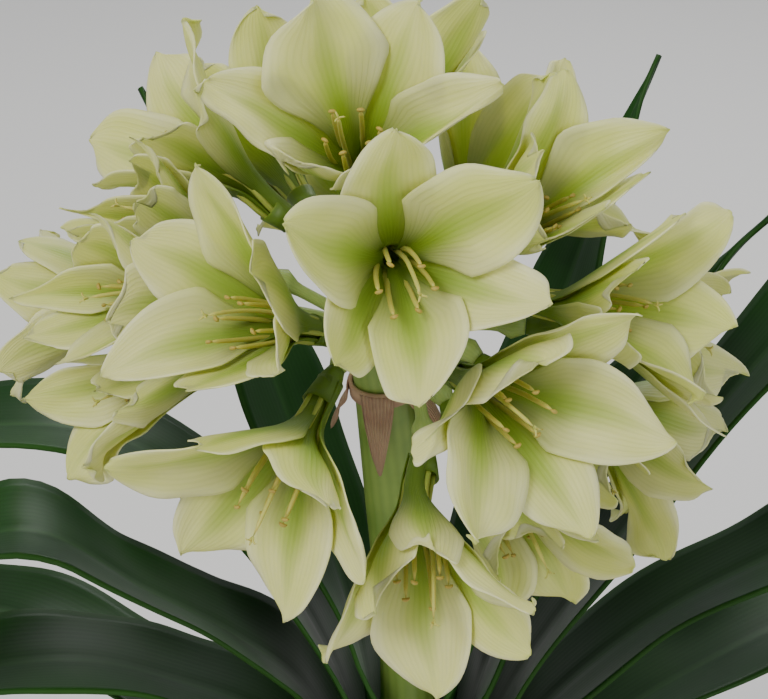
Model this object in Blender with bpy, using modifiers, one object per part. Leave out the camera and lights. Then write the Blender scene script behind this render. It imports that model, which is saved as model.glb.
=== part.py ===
import math

import bmesh
import bpy
from mathutils import Vector

MM = 0.001

# Driving sizes, in metres unless said otherwise
HEART = Vector((-0.012, -0.060, 0.410))  # where the flower stalks fan out
SEAT = 0.0003  # the gap between two pieces that touch

POT_BASE_R, POT_TOP_R, POT_RIM_R = 0.072, 0.098, 0.108
POT_HEIGHT, POT_RIM_HEIGHT, POT_WALL, POT_FLOOR = 0.176, 0.030, 0.007, 0.012
POT_EDGE = 0.002
DRAINS, DRAIN_R, DRAIN_OUT = 3, 0.007, 0.036
SOIL_TOP, SOIL_MOUND, SOIL_DIP = 0.158, 0.003, 0.002
NECK_HOLE_R, NECK_FOOT = 0.0280, 0.132
TURN_STEPS = 24

CORE_R, CORE_TOP, STALK_R, STALK_FLAT = 0.0112, 0.19, 0.0106, 0.62
KNOB_R = 0.0098
PEDICEL_R, PEDICEL_BOW = 0.0021, 0.026
OVARY_R, OVARY_LONG = 0.0042, 0.0085

INNER_LONG, INNER_HALF = 0.081, 0.0200
OUTER_LONG, OUTER_HALF = 0.079, 0.0160
TEPAL_THICK = 0.0007
TEPAL_LAYER = 0.0010  # half the step between inner and outer tepals
TEPAL_ROWS = (0.06, 0.36, 0.60, 0.80, 0.98)  # shares of the length
WIDEST_AT, FOOT_SHARE = 0.64, 0.15
LIP_CURL, TIP_TWIST, TIP_SWING = 0.0035, 0.005, 6
TUBE_FOOT = 0.036  # from the middle of a bloom down to the foot of its tube
TUBE_R, TUBE_SLOPE = 0.0030, 5
PLUG = ((0.0, 0.0030), (0.004, 0.0052), (0.013, 0.0064))  # height and radius
BLOOM_REACH, PLANE_LEAN, FOOT_CLEAR = 0.125, 30, 0.008
TEPAL_CLEAR, THREAD_CLEAR, SOFT_EDGE = 0.0004, 0.0015, 0.005
# length, radius, spread at the end, sag
STAMEN = (0.050, 0.0008, 0.0075, 0.004)
STYLE = (0.060, 0.0009, 0.004, 0.008)
THREADS = {0: STAMEN, 3: STAMEN, 6: STYLE}  # by which tepal each one stands

COLLAR_DROP, COLLAR_HIGH, COLLAR_WALL = 0.020, 0.006, 0.0013
COLLAR_WIDE, COLLAR_DEEP = 0.0099, 0.0075
BRACT_HALF, BRACT_THICK = 0.0052, 0.0008
# turn round the stalk in degrees, length mm, droop from straight down in degrees
BRACTS = ((-62, 34, 16), (20, 27, 24), (100, 31, 14), (196, 29, 18))

LEAF_THICK, LEAF_STEP, LEAF_CELLS = 0.0020, 0.0032, 11
LEAF_FIRST, LEAF_GAP = 0.170, 0.0012
SHEATH_TOP, SHEATH_WRAP = 0.205, 1.22
OPEN_FROM, OPEN_STEP, OPEN_OVER = 0.190, 0.006, 0.045
GUTTER_R, LEAF_TAPER = 0.110, 0.92

# name: stalk (azimuth, elevation, mm to the middle), face (azimuth, elevation), roll,
# six flares and six tip bends, from the first inner tepal anticlockwise
BLOOMS = {
    "A": ((5, 35, 88), (9, 9), 40, (44, 48, 42, 50, 44, 46), (25, 5, 20, 10, 20, 25)),
    "D": ((27, 7, 84), (30, 6), 106, (40, 50, 42, 42, 46, 42), (60, 70, 25, 30, 25, 30)),
    "B": ((-29, 23, 80), (-46, 24), 102, (40, 46, 42, 46, 54, 46), (20, 30, 25, 40, 90, 40)),
    "C": ((-21, -8, 81), (-31, -32), 40, (60, 54, 46, 40, 40, 46), (60, 50, 20, 30, 20, 30)),
    "G": ((-13, 67, 84), (-4, 46), 115, (26, 42, 54, 48, 50, 30), (10, 30, 70, 40, 20, 20)),
    "E": ((12, -32, 80), (-1, -33), 32, (36, 40, 38, 34, 32, 30), (50, 80, 30, 30, 10, 40)),
    "N": ((64, 40, 73), (52, 38), 10, (30, 38, 44, 46, 36, 30), (25, 40, 30, 45, 30, 40)),
    "H": ((-116, 39, 77), (-84, 38), 100, (28, 30, 36, 42, 44, 36), (25, 40, 30, 45, 30, 40)),
    "O": ((66, 19, 77), (56, 13), 25, (32, 36, 42, 40, 28, 28), (25, 40, 30, 45, 30, 40)),
    "M": ((127, 29, 71), (98, 34), 35, (32, 32, 38, 42, 38, 36), (25, 40, 25, 45, 30, 40)),
    "K": ((-70, 17, 80), (-66, 14), 70, (42, 40, 38, 38, 44, 42), (25, 40, 25, 45, 30, 40)),
    "I": ((-92, 29, 76), (-84, 30), 60, (42, 38, 38, 42, 42, 46), (25, 40, 25, 45, 30, 40)),
    "L": ((-72, -3, 72), (-62, -4), 75, (38, 34, 32, 22, 22, 32), (25, 40, 25, 40, 30, 40)),
    "F": ((42, -34, 69), (34, -38), 20, (20, 28, 34, 34, 30, 26), (35, 45, 35, 45, 35, 45)),
    "P": ((92, -1, 85), (84, -3), 60, (38, 40, 42, 42, 40, 38), (35, 45, 35, 45, 35, 45)),
    "R": ((84, -28, 68), (60, -33), 50, (32, 34, 36, 34, 30, 30), (35, 45, 35, 45, 35, 45)),
    "V": ((-103, 3, 94), (-98, 4), 30, (36, 34, 38, 40, 34, 34), (35, 45, 35, 45, 35, 45)),
    "J": ((-152, 28, 88), (-150, 28), 90, (42, 46, 44, 48, 42, 46), (35, 45, 35, 45, 35, 45)),
    "W": ((155, 18, 88), (158, 26), 70, (42, 46, 42, 46, 42, 46), (35, 45, 35, 45, 35, 45)),
    "Q": ((103, -25, 94), (93, -26), 0, (40, 40, 40, 40, 38, 38), (35, 45, 35, 45, 35, 45)),
    "U": ((170, 58, 82), (172, 58), 22, (42, 46, 44, 42, 46, 44), (35, 45, 35, 45, 35, 45)),
    "X": ((-176, 12, 90), (-176, 12), 90, (44, 46, 42, 44, 46, 42), (35, 45, 35, 45, 35, 45)),
}

# name: side, rank from the middle out, half width mm, points of the middle line in mm past the neck
LEAVES = {
    "leaf_right_0": (1, 0, 25, (
        (18, 3, 258), (38, 32, 330), (66, 64, 405), (91, 86, 462),
    )),
    "leaf_right_1": (1, 1, 27, (
        (27, 2, 252), (54, 14, 312), (92, 28, 372), (114, 32, 404), (128, 30, 420),
    )),
    "leaf_right_2": (1, 2, 30, (
        (37, 0, 246), (74, 0, 306), (130, 14, 378), (178, 30, 418), (232, 48, 434),
        (292, 68, 420), (340, 84, 382),
    )),
    "leaf_right_3": (1, 3, 30, (
        (47, -2, 237), (85, -10, 278), (130, -18, 310), (192, -10, 336), (258, 4, 334),
        (332, 20, 290),
    )),
    "leaf_right_4": (1, 4, 30, (
        (58, 3, 219), (104, 20, 242), (158, 44, 256), (218, 72, 246), (280, 100, 202),
    )),
    "leaf_left_0": (-1, 0, 26, (
        (-18, 3, 258), (-44, 46, 330), (-74, 86, 392), (-102, 116, 440),
    )),
    "leaf_left_1": (-1, 1, 30, (
        (-27, 2, 252), (-58, 10, 304), (-101, 14, 338), (-150, 12, 346), (-208, 8, 332),
        (-268, 4, 290), (-310, 0, 236),
    )),
    "leaf_left_2": (-1, 2, 30, (
        (-37, -2, 244), (-62, -30, 283), (-92, -58, 316), (-124, -72, 344), (-152, -80, 342),
        (-188, -94, 322), (-222, -108, 274),
    )),
    "leaf_left_3": (-1, 3, 30, (
        (-47, -4, 233), (-84, -24, 262), (-126, -42, 280), (-178, -56, 272), (-232, -70, 226),
    )),
    "leaf_left_4": (-1, 4, 30, (
        (-58, 3, 218), (-102, 26, 238), (-156, 54, 250), (-212, 82, 234), (-262, 108, 190),
    )),
}


def clear_scene():
    for old in list(bpy.data.objects):
        bpy.data.objects.remove(old)


def new_collection(name, helper=False):
    made = bpy.data.collections.new(name)
    bpy.context.scene.collection.children.link(made)
    made.hide_render = helper
    return made


def paint(name, color, rough):
    made = bpy.data.materials.new(name)
    made.use_nodes = True
    made.node_tree.nodes["Principled BSDF"].inputs["Base Color"].default_value = (*color, 1)
    made.node_tree.nodes["Principled BSDF"].inputs["Roughness"].default_value = rough
    return made


def soften(mesh):
    mesh.shade_smooth()
    mesh.set_sharp_from_angle(angle=math.radians(50))


def thicken(obj, wall):
    skin = obj.modifiers.new("Thick", "SOLIDIFY")
    skin.thickness = wall
    skin.offset = 0
    settle(obj)


def place(bm, name, home, material=None):
    mesh = bpy.data.meshes.new(name)
    bm.to_mesh(mesh)
    bm.free()
    soften(mesh)
    made = bpy.data.objects.new(name, mesh)
    home.objects.link(made)
    if material:
        mesh.materials.append(material)
    return made


def settle(obj):
    # turns an object's modifiers into plain mesh
    graph = bpy.context.evaluated_depsgraph_get()
    graph.update()
    mesh = bpy.data.meshes.new_from_object(obj.evaluated_get(graph))
    obj.modifiers.clear()
    obj.data = mesh
    soften(mesh)


def fuse(obj, helpers):
    # one Boolean union of the object with everything in a collection of its own
    group = new_collection(obj.name + "_parts", helper=True)
    for helper in helpers:
        for home in helper.users_collection:
            home.objects.unlink(helper)
        group.objects.link(helper)
        helper.hide_render = True
        helper.display_type = "WIRE"
    union = obj.modifiers.new("Join", "BOOLEAN")
    union.operation = "UNION"
    union.operand_type = "COLLECTION"
    union.collection = group
    union.solver = "MANIFOLD"
    settle(obj)
    for helper in list(group.objects):
        bpy.data.objects.remove(helper)
    bpy.data.collections.remove(group)


def smooth(x):
    x = max(0.0, min(1.0, x))
    return x * x * (3 - 2 * x)


def heading(azimuth, elevation):
    a, e = math.radians(azimuth), math.radians(elevation)
    return Vector((math.sin(a) * math.cos(e), -math.cos(a) * math.cos(e), math.sin(e)))


def loft(rings, closed_ends=True):
    # a closed skin over rings of points
    bm = bmesh.new()
    skins = [[bm.verts.new(p) for p in ring] for ring in rings]
    count = len(skins[0])
    for low, high in zip(skins, skins[1:]):
        for i in range(count):
            j = (i + 1) % count
            bm.faces.new((low[i], low[j], high[j], high[i]))
    if closed_ends:
        bm.faces.new(skins[0][::-1])
        bm.faces.new(skins[-1])
    bmesh.ops.remove_doubles(bm, verts=bm.verts[:], dist=1e-7)
    bmesh.ops.triangulate(bm, faces=bm.faces[:])
    bmesh.ops.recalc_face_normals(bm, faces=bm.faces[:])
    return bm


def oval_tube(points, radii, flat, sides=12):
    # a skin over oval sections that change shape on the way
    rings = []
    for i, p in enumerate(points):
        ahead = (points[min(i + 1, len(points) - 1)] - points[max(i - 1, 0)]).normalized()
        x = (Vector((1, 0, 0)) - ahead * ahead.x).normalized()
        y = ahead.cross(x)
        turns = [math.tau * k / sides for k in range(sides)]
        rings.append([p + (x * math.cos(a) + y * math.sin(a) * flat[i]) * radii[i] for a in turns])
    return loft(rings)


def rod(points, radii, name, home, resolution=0):
    # a bevelled curve, made mesh with its caps welded
    curve = bpy.data.curves.new(name, "CURVE")
    curve.dimensions = "3D"
    curve.bevel_depth = 1.0
    curve.bevel_resolution = resolution
    curve.use_fill_caps = True
    spline = curve.splines.new("POLY")
    spline.points.add(len(points) - 1)
    for slot, p, radius in zip(spline.points, points, radii):
        slot.co = (*p, 1)
        slot.radius = radius
    guide = bpy.data.objects.new(name + "_guide", curve)
    home.objects.link(guide)
    graph = bpy.context.evaluated_depsgraph_get()
    graph.update()
    bm = bmesh.new()
    bm.from_mesh(bpy.data.meshes.new_from_object(guide.evaluated_get(graph)))
    bpy.data.objects.remove(guide)
    bmesh.ops.remove_doubles(bm, verts=bm.verts[:], dist=1e-6)
    bmesh.ops.triangulate(bm, faces=bm.faces[:])
    bmesh.ops.recalc_face_normals(bm, faces=bm.faces[:])
    return place(bm, name, home)


def through(points, firm, count, steps=24):
    # points on a smooth curve through the given ones: at the first firm + 1 of them, then evenly spaced
    ends = [points[0] * 2 - points[1], *points, points[-1] * 2 - points[-2]]
    fine, run, marks = [points[0]], [0.0], [0.0]
    for a, b, c, d in zip(ends, ends[1:], ends[2:], ends[3:]):
        for k in range(1, steps + 1):
            t = k / steps
            square = (a * 2 - b * 5 + c * 4 - d) * t * t
            cube = (b * 3 - a - c * 3 + d) * t**3
            fine.append((b * 2 + (c - a) * t + square + cube) * 0.5)
            run.append(run[-1] + (fine[-1] - fine[-2]).length)
        marks.append(run[-1])
    step = (run[-1] - marks[firm]) / (count - firm)
    goals = marks[:firm] + [marks[firm] + step * k for k in range(count - firm + 1)]
    out = []
    for goal in goals:
        i = min(len(run) - 2, max(j for j in range(len(run)) if run[j] <= goal + 1e-9))
        out.append(fine[i].lerp(fine[i + 1], (goal - run[i]) / (run[i + 1] - run[i])))
    return out, [goal / run[-1] for goal in goals]


# Blooms


class Bloom:
    def __init__(self, name, row):
        (azimuth, elevation, far), face, self.roll, self.flares, self.bends = row
        self.name = name
        self.middle = HEART + heading(azimuth, elevation) * far * MM
        self.face = heading(*face)
        self.up = (Vector((0, 0, 1)) - self.face * self.face.z).normalized()
        self.right = self.up.cross(self.face)
        self.foot = self.middle - self.face * TUBE_FOOT
        self.planes = []


def part_blooms(blooms):
    # leaning planes between neighbours keep their tepals from crossing; earlier blooms lie over later ones
    listed = list(blooms.values())
    for i, over in enumerate(listed):
        for under in listed[i + 1 :]:
            gap = under.middle - over.middle
            if gap.length > BLOOM_REACH:
                continue
            mid = (under.middle + over.middle) / 2
            out = (mid - HEART).normalized()
            away = -gap.normalized()
            for lean in range(PLANE_LEAN, -1, -2):
                t = math.radians(lean)
                n = (away * math.cos(t) + out * math.sin(t)).normalized()
                clear = min((over.foot - mid).dot(n), -(under.foot - mid).dot(n))
                if clear > FOOT_CLEAR:
                    break
            over.planes.append((mid, n))
            under.planes.append((mid, -n))


def kept_clear(p, planes, keep):
    for _ in range(4):
        for mid, n in planes:
            h = (p - mid).dot(n)
            q = (h - keep) / SOFT_EDGE
            if q < 5:
                p = p + n * (keep + SOFT_EDGE * math.log1p(math.exp(q)) - h)
    return p


def half_width(s, half):
    if s < WIDEST_AT:
        swell = math.sin(math.pi / 2 * s / WIDEST_AT) ** 1.7
        return half * (FOOT_SHARE + (1 - FOOT_SHARE) * swell)
    return half * max(0.0, 1 - ((s - WIDEST_AT) / (1 - WIDEST_AT)) ** 2.3) ** 0.72


def tepal_line(long, flare, bend, steps=50):
    # radius, height and slope down one line of the funnel
    r, z, out = TUBE_R, 0.0, []
    for i in range(steps + 1):
        s = i / steps
        opened = (flare - TUBE_SLOPE) * smooth((s - 0.10) / 0.38)
        rolled = bend * max(0, (s - 0.66) / 0.34) ** 1.4
        a = math.radians(TUBE_SLOPE + opened + rolled)
        out.append((r, z, a))
        r += math.sin(a) * long / steps
        z += math.cos(a) * long / steps
    return out


def flare_at(bloom, turn):
    # the flare where the tepals overlap, blended between their middles so that both layers agree
    k = turn / 60
    i = math.floor(k)
    f = smooth(k - i)
    return bloom.flares[i % 6] * (1 - f) + bloom.flares[(i + 1) % 6] * f


def tepal_point(bloom, k, s, t, long, half, layer, habit):
    spread = smooth((s - 0.35) / 0.3)
    widest = 38 + 13 * spread if k % 2 == 0 else 46 - 3 * spread
    r_mid = tepal_line(long, bloom.flares[k], 0)[round(s * 50)][0]
    turn = 60 * k + t * min(widest, math.degrees(half_width(s, half) / r_mid))
    line = tepal_line(long, flare_at(bloom, turn), bloom.bends[k])
    at = min(s, 1.0) * 50
    i = min(49, int(at))
    r, z, a = (line[i][j] + (line[i + 1][j] - line[i][j]) * (at - i) for j in range(3))
    lip, swing, twist = habit
    loose = smooth((s - 0.70) / 0.30)
    phi = math.radians(bloom.roll + turn + swing * loose)
    er = bloom.right * math.cos(phi) + bloom.up * math.sin(phi)
    n = bloom.face * math.sin(a) - er * math.cos(a)
    lift = layer - loose * lip * LIP_CURL * t * t + loose * twist * TIP_TWIST * t
    return bloom.foot + er * r + bloom.face * z + n * lift


def habit_of(bloom, k):
    # how the end of one tepal differs from the next, from its place in the head
    seed = ord(bloom.name) * 7 + k * 3
    return (0.6 + 0.4 * math.sin(seed * 1.7), TIP_SWING * math.sin(seed * 2.3), math.sin(seed * 3.1))


def make_tepal(bloom, k, home):
    inner = (INNER_LONG, INNER_HALF, TEPAL_LAYER)
    outer = (OUTER_LONG, OUTER_HALF, -TEPAL_LAYER)
    long, half, layer = outer if k % 2 else inner
    keep = TEPAL_THICK / 2 + TEPAL_CLEAR + TEPAL_LAYER + layer
    habit = habit_of(bloom, k)
    bm = bmesh.new()
    made = bmesh.ops.create_grid(bm, x_segments=2, y_segments=len(TEPAL_ROWS) - 1, size=0.5)["verts"]
    for v in made:
        row = round((v.co.y + 0.5) * (len(TEPAL_ROWS) - 1))
        s = TEPAL_ROWS[row]
        p = tepal_point(bloom, k, s, v.co.x * 2, long, half, layer, habit)
        clear = kept_clear(p, bloom.planes, keep)
        v.co = p.lerp(clear, smooth(s / 0.3))
    bmesh.ops.triangulate(bm, faces=bm.faces[:])
    tepal = place(bm, f"tepal_{bloom.name}_{k}", home)
    thicken(tepal, TEPAL_THICK)
    return tepal


def make_thread(bloom, k, home):
    long, radius, spread, sag = THREADS[k]
    phi = math.radians(bloom.roll + 60 * k + 20)
    er = bloom.right * math.cos(phi) + bloom.up * math.sin(phi)
    foot = bloom.foot + bloom.face * long * 0.16 + er * (0.001 + spread * 0.16)
    end = bloom.foot + bloom.face * long + er * (0.001 + spread) - Vector((0, 0, sag))
    points = [foot, kept_clear(end, bloom.planes, THREAD_CLEAR)]
    return rod(points, [radius] * 2, f"thread_{bloom.name}_{k}", home)


def make_bloom(bloom, home, material):
    plug = [bloom.foot + bloom.face * z for z, _ in PLUG]
    body = rod(plug, [r for _, r in PLUG], "bloom_" + bloom.name, home, resolution=1)
    body.data.materials.append(material)
    parts = [make_tepal(bloom, k, home) for k in range(6)]
    parts += [make_thread(bloom, k, home) for k in THREADS]
    fuse(body, parts)


# Flower stalk


def make_stalk(blooms, home, material):
    # height, radius and flatness where the stalk stands straight, then where it leans to the heart
    neck = ((NECK_FOOT + SEAT, CORE_R, 1.0), (CORE_TOP, CORE_R, 1.0), (0.222, 0.0110, 0.72))
    lean = (((-1, -4, 268), STALK_R, STALK_FLAT), ((-6, -28, 335), STALK_R, STALK_FLAT))
    points = [Vector((0, 0, z)) for z, _, _ in neck] + [Vector(p) * MM for p, _, _ in lean] + [HEART]
    radii = [r for _, r, _ in neck + lean] + [STALK_R * 0.9]
    flat = [share for _, _, share in neck + lean] + [0.80]
    body = place(oval_tube(points, radii, flat), "flower_stalk", home, material)
    knob = bmesh.new()
    bmesh.ops.create_icosphere(knob, subdivisions=1, radius=KNOB_R)
    bmesh.ops.translate(knob, verts=knob.verts[:], vec=HEART)
    parts = [place(knob, "knob", home)]
    for bloom in blooms.values():
        parts.append(make_pedicel(bloom, home))
    fuse(body, parts)


def make_pedicel(bloom, home):
    # bows out from the heart and swells into the ovary under its bloom
    end = bloom.foot - bloom.face * SEAT
    bow = end - bloom.face * PEDICEL_BOW
    last = end - bloom.face * (OVARY_LONG + 0.0005)
    points = []
    for s in (0.06, 0.55):
        points.append(HEART * (1 - s) ** 2 + bow * 2 * s * (1 - s) + last * s * s)
    points += [end - bloom.face * OVARY_LONG, end - bloom.face * OVARY_LONG / 2, end]
    radii = (PEDICEL_R, PEDICEL_R, PEDICEL_R * 1.15, OVARY_R, OVARY_R * 0.65)
    return rod(points, radii, "stalk_" + bloom.name, home)


# Spathe


def make_spathe(home, material):
    down = (Vector((-6, -28, 335)) * MM - HEART).normalized()
    x = (Vector((1, 0, 0)) - down * down.x).normalized()
    y = down.cross(x)

    def round_stalk(a, grow):
        return x * math.cos(a) * (COLLAR_WIDE + grow) + y * math.sin(a) * (COLLAR_DEEP + grow)

    outside = SEAT + COLLAR_WALL
    rings = []
    for drop, grow in ((0, SEAT), (COLLAR_HIGH, SEAT), (COLLAR_HIGH, outside), (0, outside)):
        middle = HEART + down * (COLLAR_DROP + drop)
        rings.append([middle + round_stalk(math.tau * k / 12, grow) for k in range(12)])
    body = place(loft(rings + rings[:1], closed_ends=False), "spathe", home, material)
    parts = []
    for k, (turn, long, droop) in enumerate(BRACTS):
        a = math.radians(turn)
        out = x * math.cos(a) + y * math.sin(a)
        side = down.cross(out)
        root = HEART + down * (COLLAR_DROP + 0.0005) + round_stalk(a, SEAT + COLLAR_WALL * 0.75)
        bm = bmesh.new()
        made = bmesh.ops.create_grid(bm, x_segments=2, y_segments=3, size=0.5)["verts"]
        for v in made:
            s, t = v.co.y + 0.5, v.co.x * 2
            wide = BRACT_HALF * (1 - s**1.5) + 0.0006
            lean = math.radians(droop) * smooth(s / 0.5)
            run = long * MM * s
            lift = run * math.sin(lean) + 0.0004 - 0.0008 * t * t
            v.co = root + down * run * math.cos(lean) + out * lift + side * t * wide
        bmesh.ops.triangulate(bm, faces=bm.faces[:])
        bract = place(bm, f"bract_{k}", home)
        thicken(bract, BRACT_THICK)
        parts.append(bract)
    fuse(body, parts)


# Leaves


def make_leaf(name, home, material):
    side, rank, half, marks = LEAVES[name]
    ring = CORE_R + LEAF_GAP + LEAF_THICK / 2 + rank * LEAF_STEP
    start = [Vector((side * ring, 0, NECK_FOOT + SEAT)), Vector((side * ring, 0, LEAF_FIRST))]
    start.append(Vector((side * (ring + 0.0006 * rank), 0, SHEATH_TOP - 0.003 * rank)))
    points, along = through(start + [Vector(m) * MM for m in marks], 3, LEAF_CELLS)
    sideways = Vector((side, 0, 0))
    rows = []
    for i, (p, s) in enumerate(zip(points, along)):
        ahead = (points[min(i + 1, LEAF_CELLS)] - points[max(i - 1, 0)]).normalized()
        level = (Vector((ahead.x, ahead.y, 0)) + sideways * 1e-6).normalized()
        level = sideways.lerp(level, 0.5 * smooth((s - 0.25) / 0.35)).normalized()
        across = Vector((0, 0, 1)).cross(level).normalized()
        across = (across - ahead * across.dot(ahead)).normalized()
        inward = across.cross(ahead) * -1
        if inward.dot(level) > 0.9:
            inward = -inward
        open_by = 1.0
        if s < 0.5:
            open_by = smooth((p.z - OPEN_FROM - OPEN_STEP * (4 - rank)) / OPEN_OVER)
        bend = (1 - open_by) / ring + open_by / GUTTER_R
        wide = SHEATH_WRAP * ring * (1 - open_by) + half * MM * open_by
        wide *= 1 - smooth((s - 0.60) / 0.40) ** 1.5 * LEAF_TAPER
        rows.append((p, across, inward, bend, wide))
    bm = bmesh.new()
    made = bmesh.ops.create_grid(bm, x_segments=4, y_segments=LEAF_CELLS, size=0.5)["verts"]
    for v in made:
        p, across, inward, bend, wide = rows[round((v.co.y + 0.5) * LEAF_CELLS)]
        turn = v.co.x * 2 * wide * bend
        v.co = p + across * math.sin(turn) / bend + inward * (1 - math.cos(turn)) / bend
    bmesh.ops.triangulate(bm, faces=bm.faces[:])
    leaf = place(bm, name, home, material)
    thicken(leaf, LEAF_THICK)


# Pot and soil


def turned(name, profile, home, material):
    bm = bmesh.new()
    verts = [bm.verts.new((r, 0, z)) for r, z in profile]
    for a, b in zip(verts, verts[1:]):
        bm.edges.new((a, b))
    made = place(bm, name, home, material)
    spin = made.modifiers.new("Spin", "SCREW")
    spin.steps = spin.render_steps = TURN_STEPS
    spin.use_merge_vertices = True
    spin.merge_threshold = 0.0001
    settle(made)
    bm = bmesh.new()
    bm.from_mesh(made.data)
    bmesh.ops.remove_doubles(bm, verts=bm.verts[:], dist=1e-6)
    bmesh.ops.recalc_face_normals(bm, faces=bm.faces[:])
    bm.to_mesh(made.data)
    bm.free()
    soften(made.data)
    return made


def pot_outside(z):
    return POT_BASE_R + (POT_TOP_R - POT_BASE_R) * z / POT_HEIGHT


def pot_inside(z):
    low, high = pot_outside(POT_FLOOR) - POT_WALL, POT_TOP_R - POT_WALL
    return low + (high - low) * (z - POT_FLOOR) / (POT_HEIGHT - POT_FLOOR)


def make_pot(home, helpers, material):
    rim_z = POT_HEIGHT - POT_RIM_HEIGHT
    profile = [
        (0, POT_FLOOR),
        (pot_inside(POT_FLOOR), POT_FLOOR),
        (pot_inside(POT_HEIGHT), POT_HEIGHT),
        (POT_RIM_R - POT_EDGE, POT_HEIGHT),
        (POT_RIM_R, POT_HEIGHT - POT_EDGE),
        (POT_RIM_R - POT_EDGE, rim_z),
        (pot_outside(rim_z), rim_z - 0.001),
        (POT_BASE_R, 0),
        (0, 0),
    ]
    pot = turned("pot", profile, home, material)
    for k in range(DRAINS):
        a = math.tau * (k / DRAINS + 0.25)
        bm = bmesh.new()
        bmesh.ops.create_cone(
            bm, cap_ends=True, segments=12, radius1=DRAIN_R, radius2=DRAIN_R, depth=POT_FLOOR * 3
        )
        centre = (DRAIN_OUT * math.cos(a), DRAIN_OUT * math.sin(a), 0)
        bmesh.ops.translate(bm, verts=bm.verts[:], vec=centre)
        drill = place(bm, f"drill_{k}", helpers)
        drill.hide_render = True
        drill.display_type = "WIRE"
        cut = pot.modifiers.new("Drain", "BOOLEAN")
        cut.operation = "DIFFERENCE"
        cut.object = drill
        cut.solver = "EXACT"
    settle(pot)


def make_soil(home, material):
    # clear of the pot wall, whose flats come nearer to the axis than its corners
    low = POT_FLOOR + SEAT
    clear = SEAT + 0.0002
    profile = [
        (0, NECK_FOOT),
        (NECK_HOLE_R, NECK_FOOT),
        (NECK_HOLE_R, SOIL_TOP + SOIL_MOUND),
        (NECK_HOLE_R + 0.020, SOIL_TOP + SOIL_MOUND - 0.001),
        (pot_inside(SOIL_TOP) - clear, SOIL_TOP - SOIL_DIP),
        (pot_inside(low) - clear, low),
        (0, low),
    ]
    turned("soil", profile, home, material)


def main():
    clear_scene()
    home = new_collection("clivia")
    helpers = new_collection("cutters", helper=True)
    blooms = {name: Bloom(name, row) for name, row in BLOOMS.items()}
    part_blooms(blooms)
    for bloom in blooms.values():
        make_bloom(bloom, home, paint("cream tepal " + bloom.name, (0.72, 0.73, 0.42), 0.5))
    make_stalk(blooms, home, paint("green stalk", (0.10, 0.20, 0.04), 0.5))
    make_spathe(home, paint("papery bract", (0.42, 0.27, 0.18), 0.8))
    for name in LEAVES:
        make_leaf(name, home, paint("dark leaf " + name, (0.02, 0.07, 0.02), 0.35))
    make_pot(home, helpers, paint("fired clay", (0.42, 0.17, 0.08), 0.85))
    make_soil(home, paint("bark soil", (0.06, 0.035, 0.02), 0.95))


main()
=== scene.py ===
import math
import random

import bmesh
import bpy
import numpy as np
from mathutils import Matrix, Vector


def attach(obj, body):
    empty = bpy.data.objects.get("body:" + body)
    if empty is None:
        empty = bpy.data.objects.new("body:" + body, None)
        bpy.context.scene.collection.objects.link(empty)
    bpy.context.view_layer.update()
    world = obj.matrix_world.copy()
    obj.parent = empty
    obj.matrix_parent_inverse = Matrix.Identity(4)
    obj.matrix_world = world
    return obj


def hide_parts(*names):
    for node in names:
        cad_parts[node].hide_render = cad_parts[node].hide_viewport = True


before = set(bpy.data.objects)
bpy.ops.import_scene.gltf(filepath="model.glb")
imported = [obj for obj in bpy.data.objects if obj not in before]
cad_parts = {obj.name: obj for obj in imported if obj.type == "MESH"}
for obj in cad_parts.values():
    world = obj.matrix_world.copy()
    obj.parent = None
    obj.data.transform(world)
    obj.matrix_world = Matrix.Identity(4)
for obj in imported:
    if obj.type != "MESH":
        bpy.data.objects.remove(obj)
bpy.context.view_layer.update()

mm = 0.001
tau = math.tau
hair = 1e-6  # merges seams, and keeps two rings at a closed end apart
upwards = np.array([0, 0, 1])
heart = np.array([-0.012, -0.060, 0.410])  # where the flower stalks fan out
print("frame loaded")

# Materials


class Value:
    # a socket that can be used in sums
    def __init__(self, paint, socket):
        self.paint = paint
        self.socket = socket

    def maths(self, operation, first, second=0.0):
        sockets = {0: first, 1: second}
        return self.paint.add("ShaderNodeMath", {"operation": operation}, sockets)

    def __add__(self, other):
        return self.maths("ADD", self, other)

    def __radd__(self, other):
        return self.maths("ADD", other, self)

    def __sub__(self, other):
        return self.maths("SUBTRACT", self, other)

    def __rsub__(self, other):
        return self.maths("SUBTRACT", other, self)

    def __mul__(self, other):
        return self.maths("MULTIPLY", self, other)

    def __rmul__(self, other):
        return self.maths("MULTIPLY", other, self)

    def __truediv__(self, other):
        return self.maths("DIVIDE", self, other)

    def __rtruediv__(self, other):
        return self.maths("DIVIDE", other, self)

    def __pow__(self, other):
        return self.maths("POWER", self, other)

    def __abs__(self):
        return self.maths("ABSOLUTE", self)

    def wave(self):
        return self.maths("SINE", self) * 0.5 + 0.5

    def ramp(self, low, high, start=0.0, end=1.0):
        sockets = {0: self, 1: low, 2: high, 3: start, 4: end}
        return self.paint.add("ShaderNodeMapRange", {"interpolation_type": "SMOOTHSTEP"}, sockets)


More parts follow.
